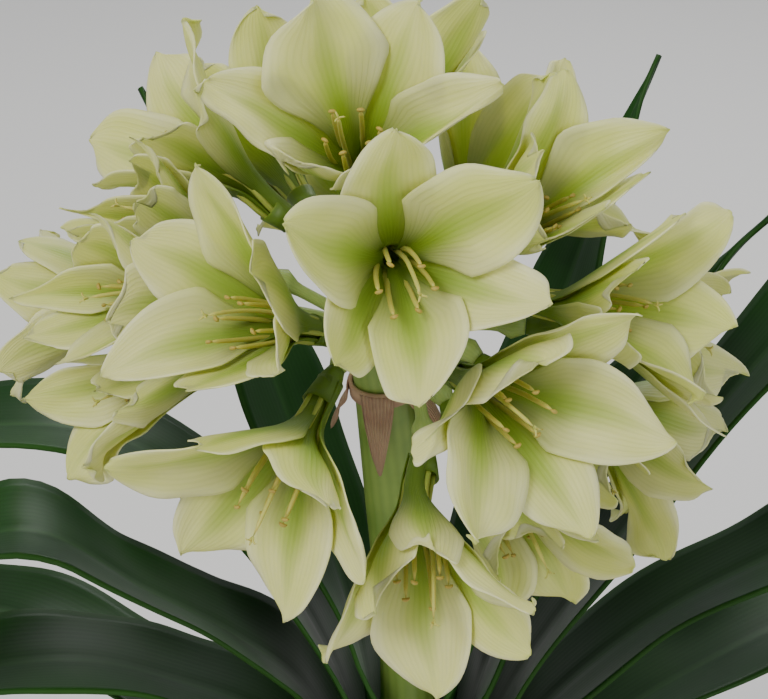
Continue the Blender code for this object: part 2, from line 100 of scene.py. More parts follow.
class Paint:
    # one material; underscores in the names of sockets stand for spaces
    def __init__(self, name, **constants):
        self.material = bpy.data.materials.new(name)
        self.material.use_nodes = True
        self.tree = self.material.node_tree
        self.shader = self.tree.nodes["Principled BSDF"]
        for socket, number in constants.items():
            self.shader.inputs[socket.replace("_", " ")].default_value = number

    def add(self, kind, settings=None, sockets=None, out=0):
        node = self.tree.nodes.new(kind)
        for setting, choice in (settings or {}).items():
            setattr(node, setting, choice)
        for socket, given in (sockets or {}).items():
            if isinstance(given, Value):
                self.tree.links.new(given.socket, node.inputs[socket])
            else:
                node.inputs[socket].default_value = given
        return Value(self, node.outputs[out])

    def overSurface(self):
        # across and along a piece, from its own map
        flat = self.add("ShaderNodeUVMap", {"uv_map": "UVMap"})
        return [self.add("ShaderNodeSeparateXYZ", None, {0: flat}, out) for out in (0, 1)]

    def onSurface(self, scale):
        flat = self.add("ShaderNodeUVMap", {"uv_map": "UVMap"})
        return self.add("ShaderNodeMapping", None, {"Vector": flat, "Scale": scale})

    def inSpace(self, scale=(1, 1, 1)):
        spot = self.add("ShaderNodeTexCoord", out=3)
        return self.add("ShaderNodeMapping", None, {"Vector": spot, "Scale": scale})

    def mark(self):
        # the number that newShape and flatSheet leave on each vertex
        return self.add("ShaderNodeAttribute", {"attribute_name": "mark"}, out=2)

    def cloud(self, spot, scale, detail=2.0, rough=0.5):
        sockets = {"Vector": spot, "Scale": scale, "Detail": detail, "Roughness": rough}
        return self.add("ShaderNodeTexNoise", None, sockets)

    def blend(self, amount, first, second):
        return self.add("ShaderNodeMix", {"data_type": "RGBA"}, {0: amount, 6: first, 7: second}, 2)

    def bump(self, height, depth, strength):
        sockets = {"Height": height, "Distance": depth, "Strength": strength}
        return self.add("ShaderNodeBump", None, sockets)

    def feed(self, **values):
        for socket, value in values.items():
            self.tree.links.new(value.socket, self.shader.inputs[socket.replace("_", " ")])
        return self.material


# Shaping tools


def smooth(x, start=0.0, over=1.0):
    # rises softly from 0 to 1 over a span
    x = np.clip((x - start) / over, 0.0, 1.0)
    return x * x * (3 - 2 * x)


def bell(x, middle, width):
    return np.exp(-(((x - middle) / width) ** 2))


def unit(v):
    return v / np.linalg.norm(v, axis=-1, keepdims=True)


def around(x, y, turn):
    # directions at an angle between two axes
    return x * np.cos(turn)[..., None] + y * np.sin(turn)[..., None]


def heading(azimuth, elevation):
    # degrees from straight ahead, to the right and up
    a, e = math.radians(azimuth), math.radians(elevation)
    return np.array([math.sin(a) * math.cos(e), -math.cos(a) * math.cos(e), math.sin(e)])


def newShape():
    bm = bmesh.new()
    bm.loops.layers.uv.new("UVMap")
    bm.verts.layers.float.new("mark")
    return bm


def loopsOf(verts):
    return [loop for face in {face for vert in verts for face in vert.link_faces} for loop in face.loops]


def flatSheet(bm, across, along, mark=0.0):
    # a flat grid with its map; gives its vertices and their places across and along
    verts = bmesh.ops.create_grid(bm, x_segments=across, y_segments=along, size=0.5)["verts"]
    uv, marks = bm.loops.layers.uv.active, bm.verts.layers.float["mark"]
    middle = Vector((0.5, 0.5))
    for loop in loopsOf(verts):
        loop[uv].uv = loop.vert.co.xy + middle
    for vert in verts:
        vert[marks] = mark
    places = np.array([vert.co.xy for vert in verts]) + 0.5
    return verts, places[:, 0], places[:, 1]


def moveTo(verts, points):
    for vert, point in zip(verts, points):
        vert.co = point


def tubeOn(bm, path, radii, sides, mark=0.0, flat=None, lobes=0.0, lobeAt=None, side=(1, 0, 0)):
    # a closed tube along a path, from a grid rolled up and merged; it may have three lobes
    path, radii, side = np.array(path), np.array(radii), np.array(side)
    last = len(path) - 1
    verts, across, along = flatSheet(bm, sides, last, mark)
    at = np.round(along * last).astype(int)
    ahead = unit(np.gradient(path, axis=0) + 1e-12)
    x = unit(side - ahead * (ahead @ side)[:, None])
    y = np.cross(ahead, x)
    squash = np.ones(last + 1) if flat is None else np.array(flat)
    turn = across * tau
    wide = radii[at]
    if lobes:
        wide = wide * (1 + lobes * np.array(lobeAt)[at] * np.cos(3 * turn))
    outward = x[at] * np.cos(turn)[:, None] + y[at] * (np.sin(turn) * squash[at])[:, None]
    moveTo(verts, path[at] + outward * wide[:, None])
    bmesh.ops.remove_doubles(bm, verts=verts, dist=hair)


def curveThrough(points, firm, count):
    # places on a smooth curve through the given points: a quarter of them, evenly spaced, over its
    # first firm steps, and the rest over what follows; and their shares of its length
    between = 24
    points = [np.array(p, float) for p in points]
    ends = [points[0] * 2 - points[1], *points, points[-1] * 2 - points[-2]]
    fine, run, stops = [points[0]], [0.0], [0.0]
    for a, b, c, d in zip(ends, ends[1:], ends[2:], ends[3:]):
        for k in range(between):
            t = (k + 1) / between
            place = b * 2 + (c - a) * t + (a * 2 - b * 5 + c * 4 - d) * t * t
            place = place + (b * 3 - a - c * 3 + d) * t**3
            fine.append(0.5 * place)
            run.append(run[-1] + float(np.linalg.norm(fine[-1] - fine[-2])))
        stops.append(run[-1])
    goals = list(np.linspace(0, stops[firm], count // 4, endpoint=False)) if firm else []
    goals += list(np.linspace(stops[firm], run[-1], count - len(goals)))
    fine = np.array(fine)
    found = np.stack([np.interp(goals, run, fine[:, axis]) for axis in range(3)], axis=1)
    return found, np.array(goals) / run[-1]


def finished(bm, name, material, nodes, wall=0.0):
    mesh = bpy.data.meshes.new(name)
    bmesh.ops.recalc_face_normals(bm, faces=bm.faces[:])
    bm.to_mesh(mesh)
    bm.free()
    piece = bpy.data.objects.new(name, mesh)
    bpy.context.scene.collection.objects.link(piece)
    mesh.materials.append(material)
    mesh.shade_smooth()
    if wall:
        skin = piece.modifiers.new("Wall", "SOLIDIFY")
        skin.thickness, skin.offset = wall, 0
    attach(piece, "root")
    if nodes:
        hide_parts(*nodes)
    return piece


# Blooms

bloomForm = {
    # sweep is degrees to each side of a tepal in the tube, and grow what the flare adds
    "inner": {"long": 0.081, "half": 0.0200, "sweep": 38, "grow": 13, "layer": 0.0010},
    "outer": {"long": 0.079, "half": 0.0160, "sweep": 46, "grow": -3, "layer": -0.0010},
    "across": 16, "along": 30,
    "wall": 0.0005,
    "tubeFoot": 0.036,          # from the middle of a bloom down to the foot of its tube
    "tubeR": 0.0030,
    "tubeSlope": 5,             # degrees
    # spans are a start and a length, as shares of a tepal's length
    "flareSpan": (0.10, 0.38),  # where the funnel opens
    "bendSpan": (0.66, 0.34),   # where the tip rolls
    "sheetSpan": (0.05, 0.948),
    "sweepSpan": (0.35, 0.3),
    "freeSpan": (0.45, 0.4),    # where the folds start
    "looseSpan": (0.70, 0.30),  # where the lip curls and the tip turns
    "pointSpan": (0.9, 0.095),
    "heldSpan": (0.0, 0.3),     # where the parting planes start to hold
    "widestAt": 0.64,
    "footShare": 0.15,          # width at the foot, as a share of the widest
    "clear": 0.0007,            # kept from a parting plane, beside the layers
    "lipCurl": 0.0035,
    "tipTwist": 0.005,
    "tipSwing": 6,              # degrees
    "point": 0.0012, "pointHalf": 0.4,
    "channel": 0.0007, "channelHalf": 0.10,
    "ruffle": 0.0013, "ruffleWaves": 24,
    "puckers": ((0.0009, 7, 5, 1), (0.0006, 11, -12, 2)),  # depth, waves round and along, shift
    "folds": 0.0003, "foldWaves": (9.5, 7, 0.6),           # depth, waves across and along, sway
}
# name: stalk (azimuth, elevation, mm to the middle), face (azimuth, elevation), roll,
# six flares and six tip bends, from the first inner tepal anticlockwise
bloomRows = {
    "A": ((5, 35, 88), (9, 9), 40, (44, 48, 42, 50, 44, 46), (25, 5, 20, 10, 20, 25)),
    "D": ((27, 7, 84), (30, 6), 106, (40, 50, 42, 42, 46, 42), (60, 70, 25, 30, 25, 30)),
    "B": ((-29, 23, 80), (-46, 24), 102, (40, 46, 42, 46, 54, 46), (20, 30, 25, 40, 90, 40)),
    "C": ((-21, -8, 81), (-31, -32), 40, (60, 54, 46, 40, 40, 46), (60, 50, 20, 30, 20, 30)),
    "G": ((-13, 67, 84), (-4, 46), 115, (26, 42, 54, 48, 50, 30), (10, 30, 70, 40, 20, 20)),
    "E": ((12, -32, 80), (-1, -33), 32, (36, 40, 38, 34, 32, 30), (50, 80, 30, 30, 10, 40)),
    "N": ((64, 40, 73), (52, 38), 10, (30, 38, 44, 46, 36, 30), (25, 40, 30, 45, 30, 40)),
    "H": ((-116, 39, 77), (-84, 38), 100, (28, 30, 36, 42, 44, 36), (25, 40, 30, 45, 30, 40)),
    "O": ((66, 19, 77), (56, 13), 25, (32, 36, 42, 40, 28, 28), (25, 40, 30, 45, 30, 40)),
    "M": ((127, 29, 71), (98, 34), 35, (32, 32, 38, 42, 38, 36), (25, 40, 25, 45, 30, 40)),
    "K": ((-70, 17, 80), (-66, 14), 70, (42, 40, 38, 38, 44, 42), (25, 40, 25, 45, 30, 40)),
    "I": ((-92, 29, 76), (-84, 30), 60, (42, 38, 38, 42, 42, 46), (25, 40, 25, 45, 30, 40)),
    "L": ((-72, -3, 72), (-62, -4), 75, (38, 34, 32, 22, 22, 32), (25, 40, 25, 40, 30, 40)),
    "F": ((42, -34, 69), (34, -38), 20, (20, 28, 34, 34, 30, 26), (35, 45, 35, 45, 35, 45)),
    "P": ((92, -1, 85), (84, -3), 60, (38, 40, 42, 42, 40, 38), (35, 45, 35, 45, 35, 45)),
    "R": ((84, -28, 68), (60, -33), 50, (32, 34, 36, 34, 30, 30), (35, 45, 35, 45, 35, 45)),
    "V": ((-103, 3, 94), (-98, 4), 30, (36, 34, 38, 40, 34, 34), (35, 45, 35, 45, 35, 45)),
    "J": ((-152, 28, 88), (-150, 28), 90, (42, 46, 44, 48, 42, 46), (35, 45, 35, 45, 35, 45)),
    "W": ((155, 18, 88), (158, 26), 70, (42, 46, 42, 46, 42, 46), (35, 45, 35, 45, 35, 45)),
    "Q": ((103, -25, 94), (93, -26), 0, (40, 40, 40, 40, 38, 38), (35, 45, 35, 45, 35, 45)),
    "U": ((170, 58, 82), (172, 58), 22, (42, 46, 44, 42, 46, 44), (35, 45, 35, 45, 35, 45)),
    "X": ((-176, 12, 90), (-176, 12), 90, (44, 46, 42, 44, 46, 42), (35, 45, 35, 45, 35, 45)),
}
partingForm = {
    "reach": 0.125,      # blooms with their middles further apart than this never meet
    "mostLean": 30,      # degrees that a plane between two blooms may lean
    "leanStep": 2,
    "footClear": 0.008,  # from a plane to the foot of either bloom
    "soft": 0.005,
    "leftAlone": 5,      # softnesses from a plane, past which a point isn't moved
    "rounds": 4,
}
tubeFootForm = {
    "heights": (0.0, 0.0, 0.003, 0.008, 0.0135, 0.0125, 0.011, 0.0105),
    "radii": (0.0, 0.0028, 0.0037, 0.0045, 0.0051, 0.0040, 0.0022, 0.0),
    "sides": 24,
    # the tube foot takes the throat colour: the flower's own deep green, darkened further by painted shade
    "paintedAs": (0.5, 0.06),  # the place on a tepal whose colour it takes
    "mark": 0.5,
}
threadForm = {
    "filament": {"long": 0.050, "thick": 0.0010, "spread": 0.0075, "sag": 0.004, "mark": 0.0},
    "style": {"long": 0.060, "thick": 0.0009, "spread": 0.004, "sag": 0.008, "mark": 0.5},
    "turn": 20,          # degrees from the middle of a tepal
    "heldSpan": (0.14, 0.4),  # shares of the length: start, and where the planes come to hold
    "middleGap": 0.001,
    "belly": 0.002,
    "vary": 0.05,
    "footThick": 1.15, "thinning": 0.45,
    "clear": 0.0022,
    "rings": 12, "sides": 6,
    "lobe": ((-0.8, 0), (0.6, 0.6), (1.2, 1.6), (1.0, 2.4)),  # mm ahead and to the side
    "lobeRadii": (0.0004, 0.0004, 0.0003, 0.0),
    "lobeSides": 5,
    "antherLong": 0.0028,
    "antherR": 0.0007,
    "antherBow": 0.0007,
    "antherMark": 1.0,
}


class Bloom:
    def __init__(self, name, row):
        (turn, rise, far), face, self.roll, self.flares, self.bends = row
        self.name = name
        self.middle = heart + heading(turn, rise) * far * mm
        self.face = heading(*face)
        self.up = unit(upwards - self.face * self.face[2])
        self.right = np.cross(self.up, self.face)
        self.foot = self.middle - self.face * bloomForm["tubeFoot"]
        self.planes = []


def partBlooms(blooms):
    # leaning planes between neighbours keep their tepals from crossing; earlier blooms lie over later ones
    form = partingForm
    listed = list(blooms.values())
    for i, over in enumerate(listed):
        for under in listed[i + 1:]:
            gap = under.middle - over.middle
            if np.linalg.norm(gap) > form["reach"]:
                continue
            mid = (under.middle + over.middle) / 2
            out, away = unit(mid - heart), -unit(gap)
            for lean in range(form["mostLean"], -1, -form["leanStep"]):
                t = math.radians(lean)
                n = unit(away * math.cos(t) + out * math.sin(t))
                if min((over.foot - mid) @ n, -(under.foot - mid) @ n) > form["footClear"]:
                    break
            over.planes.append((mid, n))
            under.planes.append((mid, -n))


def keptClear(points, planes, keep):
    # eases points back to their own side of each plane
    soft, far = partingForm["soft"], partingForm["leftAlone"]
    for _ in range(partingForm["rounds"]):
        for mid, n in planes:
            h = (points - mid) @ n
            q = (h - keep) / soft
            eased = keep + soft * np.log1p(np.exp(np.minimum(q, far)))
            points = points + np.where(q < far, eased - h, 0)[:, None] * n
    return points


def halfWidth(s, half):
    widest, foot = bloomForm["widestAt"], bloomForm["footShare"]
    low = foot + (1 - foot) * np.sin(np.pi / 2 * np.clip(s / widest, 0, 1)) ** 1.7
    high = np.clip(1 - np.clip((s - widest) / (1 - widest), 0, 1) ** 2.3, 0, 1) ** 0.72
    return half * np.where(s < widest, low, high)


def funnelAt(long, flare, bend, s, steps=50):
    # radius, height and slope at s down the funnel
    start, over = bloomForm["bendSpan"]
    g = np.arange(steps + 1) / steps
    turned = (flare[:, None] - bloomForm["tubeSlope"]) * smooth(g, *bloomForm["flareSpan"])
    rolled = bend * np.clip((g - start) / over, 0, None) ** 1.4
    slope = np.radians(bloomForm["tubeSlope"] + turned + rolled)
    first = np.zeros((len(s), 1))
    r = np.hstack([first, np.cumsum(np.sin(slope[:, :-1]), axis=1)]) * long / steps
    z = np.hstack([first, np.cumsum(np.cos(slope[:, :-1]), axis=1)]) * long / steps
    at = np.clip(s, 0, 1) * steps
    i = np.minimum(steps - 1, at.astype(int))
    f, row = at - i, np.arange(len(s))
    curves = (bloomForm["tubeR"] + r, z, slope)
    return [curve[row, i] * (1 - f) + curve[row, i + 1] * f for curve in curves]


def flareAt(bloom, turn):
    i = np.floor(turn / 60).astype(int)
    f = smooth(turn / 60 - i)
    flares = np.array(bloom.flares)
    return flares[i % 6] * (1 - f) + flares[(i + 1) % 6] * f


def tepalOn(bm, bloom, k):
    form = bloomForm
    kind = form["inner"] if k % 2 == 0 else form["outer"]
    letter = ord(bloom.name)
    seed = letter * 7 + k * 3
    curl = form["lipCurl"] * (0.6 + 0.4 * math.sin(seed * 1.7))
    swing = form["tipSwing"] * math.sin(seed * 2.3)
    twist = form["tipTwist"] * math.sin(seed * 3.1)
    verts, across, along = flatSheet(bm, form["across"], form["along"], seed % 17 / 16)
    t = across * 2 - 1
    start, over = form["sheetSpan"]
    s = start + over * (1 - (1 - along) ** 1.4)  # rows crowd towards the tip
    point = form["point"] * smooth(s, *form["pointSpan"]) * bell(t, 0, form["pointHalf"])
    loose = smooth(s, *form["looseSpan"])
    free = smooth(s, *form["freeSpan"])

    # where the sheet lies on the funnel
    sweep = kind["sweep"] + kind["grow"] * smooth(s, *form["sweepSpan"])
    middle = funnelAt(kind["long"], np.full(len(s), bloom.flares[k]), 0, s)[0]
    turn = 60 * k + t * np.minimum(sweep, np.degrees(halfWidth(s, kind["half"]) / middle))
    r, z, slope = funnelAt(kind["long"], flareAt(bloom, turn), bloom.bends[k], s)
    out = around(bloom.right, bloom.up, np.radians(bloom.roll + turn + swing * loose))
    n = bloom.face * np.sin(slope)[:, None] - out * np.cos(slope)[:, None]
    ahead = bloom.face * np.cos(slope)[:, None] + out * np.sin(slope)[:, None]

    # how far it stands off: curled lip, twist, ruffled edge, puckers that both layers share,
    # the channel along the middle and lengthwise folds
    ruffled = np.sin(s * form["ruffleWaves"] + seed + 1.5 * np.sign(t))
    foldsAcross, foldsAlong, sway = form["foldWaves"]
    lift = kind["layer"] - loose * curl * t * t + loose * twist * t
    lift = lift + form["ruffle"] * free * np.abs(t) ** 3 * ruffled
    for depth, wavesRound, wavesAlong, shift in form["puckers"]:
        lift = lift + depth * free * np.sin(np.radians(turn) * wavesRound + s * wavesAlong + shift * letter)
    lift = lift - form["channel"] * free * bell(t, 0, form["channelHalf"])
    lift = lift + form["folds"] * free * np.cos(t * foldsAcross + sway * np.sin(s * foldsAlong + seed))

    points = bloom.foot + out * r[:, None] + bloom.face * z[:, None] + n * lift[:, None]
    points = points + ahead * point[:, None]
    keep = form["clear"] + form["inner"]["layer"] + kind["layer"]
    held = smooth(s, *form["heldSpan"])[:, None]
    moveTo(verts, points * (1 - held) + keptClear(points, bloom.planes, keep) * held)


def tubeFootOn(bm, bloom):
    # the closed foot of the tube, with a hollow in which the threads stand
    form = tubeFootForm
    last = len(form["radii"]) - 1
    path = np.array([bloom.foot + bloom.face * (z + i * hair) for i, z in enumerate(form["heights"])])
    verts, across, along = flatSheet(bm, form["sides"], last, form["mark"])
    at = np.round(along * last).astype(int)
    out = around(bloom.right, bloom.up, across * tau)
    moveTo(verts, path[at] + out * np.array(form["radii"])[at][:, None])
    uv = bm.loops.layers.uv.active
    for loop in loopsOf(verts):
        loop[uv].uv = form["paintedAs"]
    bmesh.ops.remove_doubles(bm, verts=verts, dist=2 * hair)


def lobesOn(bm, bloom, tip, ahead):
    # three lobes that curl out at the end of the style
    form = threadForm
    for k in range(3):
        side = around(bloom.right, bloom.up, tau * k / 3)
        curl = [tip + (ahead * on + side * off) * mm for on, off in form["lobe"]]
        tubeOn(bm, curl, form["lobeRadii"], form["lobeSides"], mark=form["style"]["mark"])


def antherOn(bm, bloom, k, tip, ahead):
    # a grain that lies across the end of its filament
    form = threadForm
    cross = unit(np.cross(ahead, bloom.up + 0.6 * bloom.right * math.sin(k * 1.9)))
    s = np.linspace(-1, 1, 7)
    bow = form["antherBow"] * s * s
    grain = tip + cross * (s * form["antherLong"] / 2)[:, None] - ahead * bow[:, None]
    radii = form["antherR"] * np.sqrt(np.clip(1 - s * s, 0, 1))
    tubeOn(bm, grain, radii, form["sides"], mark=form["antherMark"], side=ahead)


def threadsOn(bm, bloom):
    # six filaments with their anthers, and the style in the middle
    form = threadForm
    for k in range(7):
        isStyle = k == 6
        kind = form["style" if isStyle else "filament"]
        long = kind["long"]
        if not isStyle:
            long = long * (1 + form["vary"] * math.sin(k * 2.1 + ord(bloom.name)))
        s = np.linspace(form["heldSpan"][0], 1.0, form["rings"])
        out = around(bloom.right, bloom.up, np.radians(bloom.roll + 60 * k + form["turn"]))
        away = form["middleGap"] + kind["spread"] * s + form["belly"] * np.sin(s * 3)
        path = bloom.foot + bloom.face * (long * s)[:, None] + out * away[:, None]
        path = path - upwards * (kind["sag"] * s * s)[:, None]
        held = smooth(s, *form["heldSpan"])[:, None]
        path = path * (1 - held) + keptClear(path, bloom.planes, form["clear"]) * held
        radii = kind["thick"] * (form["footThick"] - form["thinning"] * s)
        radii[-1] = 0
        tubeOn(bm, path, radii, form["sides"], mark=kind["mark"])
        tip, ahead = path[-1], unit(path[-1] - path[-3])
        if isStyle:
            lobesOn(bm, bloom, tip, ahead)
        else:
            antherOn(bm, bloom, k, tip, ahead)


tepalTints = {
    "cream": (0.63, 0.67, 0.19, 1), "lightCream": (0.75, 0.75, 0.30, 1),
    # throat: the flower's own deep green, darkened further by painted shade deep in the funnel
    "streak": (0.23, 0.37, 0.024, 1), "throatGreenAndShade": (0.085, 0.15, 0.010, 1),
    "vein": (0.27, 0.38, 0.05, 1), "edge": (0.86, 0.84, 0.52, 1), "tip": (0.42, 0.52, 0.10, 1),
}
threadTints = {
    "filamentFoot": (0.24, 0.31, 0.035, 1), "filament": (0.50, 0.47, 0.09, 1),
    "style": (0.54, 0.53, 0.12, 1),
    "pollen": (0.30, 0.23, 0.035, 1), "lightPollen": (0.50, 0.40, 0.08, 1),
}


def tepalPaint():
    p = Paint(
        "creamTepal", Specular_IOR_Level=0.35, Subsurface_Weight=0.35, Subsurface_Scale=0.005,
        Subsurface_Radius=(0.9, 1.0, 0.25),
    )
    tints = tepalTints
    across, along = p.overSurface()
    t = abs(across * 2 - 1)
    broad = p.cloud(p.inSpace(), 22.0)
    fine = p.cloud(p.onSurface((9, 1.2, 1)), 5.0, 3.0)
    reach = (along + (broad - 0.5) * 0.20).ramp(0.28, 0.95, 1.0, 0.0)
    streak = (t / (reach * 0.62 + 0.12)).ramp(0.05, 1.0, 1.0, 0.0) * reach ** 0.8
    # the throat: the flower's own deep green, partly painted shade where the funnel deepens
    throatGreenAndShade = (along + (broad - 0.5) * 0.06).ramp(0.18, 0.54, 1.0, 0.0)
    veins = (across * 110 + (fine - 0.5) * 4.5).wave() ** 2
    pale = t.ramp(0.62, 1.0) * along.ramp(0.35, 0.7) * 0.50
    colour = p.blend(broad.ramp(0.35, 0.65), tints["cream"], tints["lightCream"])
    colour = p.blend(streak * 0.95 + veins * 0.10 * (1 - along), colour, tints["streak"])
    colour = p.blend(throatGreenAndShade, colour, tints["throatGreenAndShade"])
    colour = p.blend(veins * (0.05 + streak * 0.15), colour, tints["vein"])
    colour = p.blend(pale, colour, tints["edge"])
    colour = p.blend(along.ramp(0.955, 0.995) * 0.45, colour, tints["tip"])
    return p.feed(
        Base_Color=colour,
        Roughness=fine.ramp(0.2, 0.8, 0.42, 0.58),
        Normal=p.bump(veins * 0.35 + fine * 0.5, 0.0004, 0.45),
    )


def threadPaint():
    p = Paint("threads", Subsurface_Weight=0.2, Subsurface_Scale=0.003)
    tints = threadTints
    along = p.overSurface()[1]
    kind = p.mark()
    speckle = p.cloud(p.inSpace(), 900.0, 2.0)
    pollen = p.blend(speckle, tints["pollen"], tints["lightPollen"])
    colour = p.blend(along.ramp(0.0, 0.8), tints["filamentFoot"], tints["filament"])
    colour = p.blend(kind.ramp(0.3, 0.45), colour, tints["style"])
    colour = p.blend(kind.ramp(0.7, 0.85), colour, pollen)
    return p.feed(
        Base_Color=colour,
        Roughness=speckle.ramp(0.2, 0.8, 0.45, 0.7),
        Normal=p.bump(speckle, 0.0002, 0.4),
    )


def makeBloom(bloom):
    bm = newShape()
    for k in range(6):
        tepalOn(bm, bloom, k)
    nodes = [f"bloom_{bloom.name}"]
    finished(bm, f"tepals{bloom.name}", paints["tepal"], nodes, bloomForm["wall"])
    bm = newShape()
    tubeFootOn(bm, bloom)
    finished(bm, f"tube{bloom.name}", paints["tepal"], [])
    bm = newShape()
    threadsOn(bm, bloom)
    finished(bm, f"threads{bloom.name}", paints["thread"], [])


# Flower stalk

stalkForm = {
    "line": ((0, 0, 0.1323), (0, 0, 0.19), (0, 0, 0.222), (-0.001, -0.004, 0.268), (-0.006, -0.028, 0.335)),
    "radii": (0.0112, 0.0112, 0.0110, 0.0106, 0.0105, 0.0095),
    "flat": (1.0, 1.0, 0.72, 0.62, 0.62, 0.80),
    "rings": 40, "sides": 28, "mark": 0.1,
    "knob": 0.0098,
}
flowerStalkForm = {
    "seat": 0.0003,              # gap to the foot of its bloom
    "bow": 0.026,                # how far behind its bloom a stalk comes into line with it
    "start": 0.06,               # share of the way from the heart, inside the knob
    "thick": 0.0021,
    "rootSwell": 0.0006, "rootSpan": (0.05, 0.03),
    "caseSwell": 0.0022, "caseAt": 0.0045, "caseLong": 0.0032,
    "neckR": 0.0027, "neckLong": 0.0012,
    "lobes": 0.08, "lobeLong": 0.0035,
    "rings": 22, "sides": 12, "mark": 0.6,
}
stalkTints = {
    "green": (0.16, 0.27, 0.045, 1), "lightGreen": (0.24, 0.36, 0.07, 1),
    "line": (0.10, 0.20, 0.03, 1), "flowerStalk": (0.42, 0.50, 0.14, 1),
}


def stalkPaint():
    p = Paint("greenStalk", Subsurface_Weight=0.08, Subsurface_Scale=0.004)
    tints = stalkTints
    across = p.overSurface()[0]
    cloud = p.cloud(p.inSpace(), 45.0, 3.0)
    lines = (across * 120 + p.cloud(p.inSpace(), 60.0) * 3).wave()
    colour = p.blend(cloud.ramp(0.3, 0.7), tints["green"], tints["lightGreen"])
    colour = p.blend(lines * 0.3, colour, tints["line"])
    colour = p.blend(p.mark() * 0.65, colour, tints["flowerStalk"])
    return p.feed(
        Base_Color=colour,
        Roughness=cloud.ramp(0.2, 0.8, 0.38, 0.52),
        Normal=p.bump(lines * 0.5 + cloud, 0.0003, 0.5),
    )


def stalkOn(bm):
    form = stalkForm
    marks = [*form["line"], heart]
    path = curveThrough(marks, 0, form["rings"])[0]
    heights = [mark[2] for mark in marks]
    radii = np.interp(path[:, 2], heights, form["radii"])
    flat = np.interp(path[:, 2], heights, form["flat"])
    path = np.vstack([path[:1] - upwards * hair, path, path[-1:] + upwards * hair])
    radii = np.concatenate([[0], radii, [0]])
    flat = np.concatenate([flat[:1], flat, flat[-1:]])
    tubeOn(bm, path, radii, form["sides"], mark=form["mark"], flat=flat)
    knob = bmesh.ops.create_icosphere(bm, subdivisions=3, radius=form["knob"])["verts"]
    bmesh.ops.translate(bm, verts=knob, vec=tuple(heart))


def flowerStalkOn(bm, bloom):
    # the short stalk of one bloom, with the seed case at its end
    form = flowerStalkForm
    end = bloom.foot - bloom.face * form["seat"]
    bow = end - bloom.face * form["bow"]
    s = np.linspace(form["start"], 1.0, form["rings"])[:, None]
    path = heart * (1 - s) ** 2 + bow * 2 * s * (1 - s) + end * s * s
    back = np.linalg.norm(path - end, axis=1)
    radii = form["thick"] + form["caseSwell"] * bell(back, form["caseAt"], form["caseLong"])
    radii = radii + form["rootSwell"] * smooth(back, *form["rootSpan"])
    radii = np.where(back < form["neckLong"], form["neckR"], radii)
    lobeAt = bell(back, form["caseAt"], form["lobeLong"])
    side = bloom.right if abs(unit(path[2] - path[1]) @ bloom.right) < 0.8 else bloom.up
    path = np.vstack([path[:1], path, path[-1:] + bloom.face * hair])
    radii = np.concatenate([[0], radii, [0]])
    lobeAt = np.concatenate([[0], lobeAt, [0]])
    lobed = {"lobes": form["lobes"], "lobeAt": lobeAt, "side": side}
    tubeOn(bm, path, radii, form["sides"], mark=form["mark"], **lobed)


def makeStalk(blooms):
    bm = newShape()
    stalkOn(bm)
    for bloom in blooms.values():
        flowerStalkOn(bm, bloom)
    finished(bm, "flowerStalk", paints["stalk"], ["flower_stalk"])


# Spathe

spatheForm = {
    "drop": 0.020,   # from the heart down the stalk to the collar
    "high": 0.006,
    "gap": 0.0003,
    "wall": 0.0013,
    "wide": 0.0099, "deep": 0.0075,  # half sizes of the stalk inside the collar
    "sides": 32,
    "bracts": ((-62, 34, 16), (20, 27, 24), (100, 31, 14), (196, 29, 18)),  # turn, length mm, droop
    "bractRoot": 0.0005,
    "bractHalf": 0.0052, "tipHalf": 0.0006,
    "bractWall": 0.0005,
    "hollow": 0.0008, "ripple": 0.0005,
    "across": 8, "along": 16,
}
spatheTints = {
    "brown": (0.34, 0.19, 0.12, 1), "tan": (0.52, 0.36, 0.22, 1),
    "line": (0.26, 0.13, 0.08, 1), "tip": (0.50, 0.32, 0.20, 1),
}


def spathePaint():
    p = Paint("paperyBract", Subsurface_Weight=0.08, Subsurface_Scale=0.003)
    tints = spatheTints
    across, along = p.overSurface()
    cloud = p.cloud(p.inSpace(), 120.0, 4.0)
    lines = (across * 60 + cloud * 4).wave()
    colour = p.blend(cloud.ramp(0.3, 0.7), tints["brown"], tints["tan"])
    colour = p.blend(lines * 0.4, colour, tints["line"])
    colour = p.blend(along.ramp(0.1, 0.8) * 0.6, colour, tints["tip"])
    return p.feed(
        Base_Color=colour,
        Roughness=cloud.ramp(0.2, 0.8, 0.6, 0.85),
        Normal=p.bump(lines + cloud, 0.0005, 0.7),
    )


def collarOn(bm, down, x, y):
    # a ring with a square section, rolled from a grid
    form = spatheForm
    drops = np.array((0, form["high"], form["high"], 0, 0))
    grows = np.array((0, 0, form["wall"], form["wall"], 0))
    verts, across, along = flatSheet(bm, form["sides"], 4)
    at = np.round(along * 4).astype(int)
    turn = across * tau
    grow = grows[at] + form["gap"]
    points = heart + down * (form["drop"] + drops[at])[:, None]
    points = points + x * (np.cos(turn) * (form["wide"] + grow))[:, None]
    points = points + y * (np.sin(turn) * (form["deep"] + grow))[:, None]
    moveTo(verts, points)
    bmesh.ops.remove_doubles(bm, verts=verts, dist=hair)


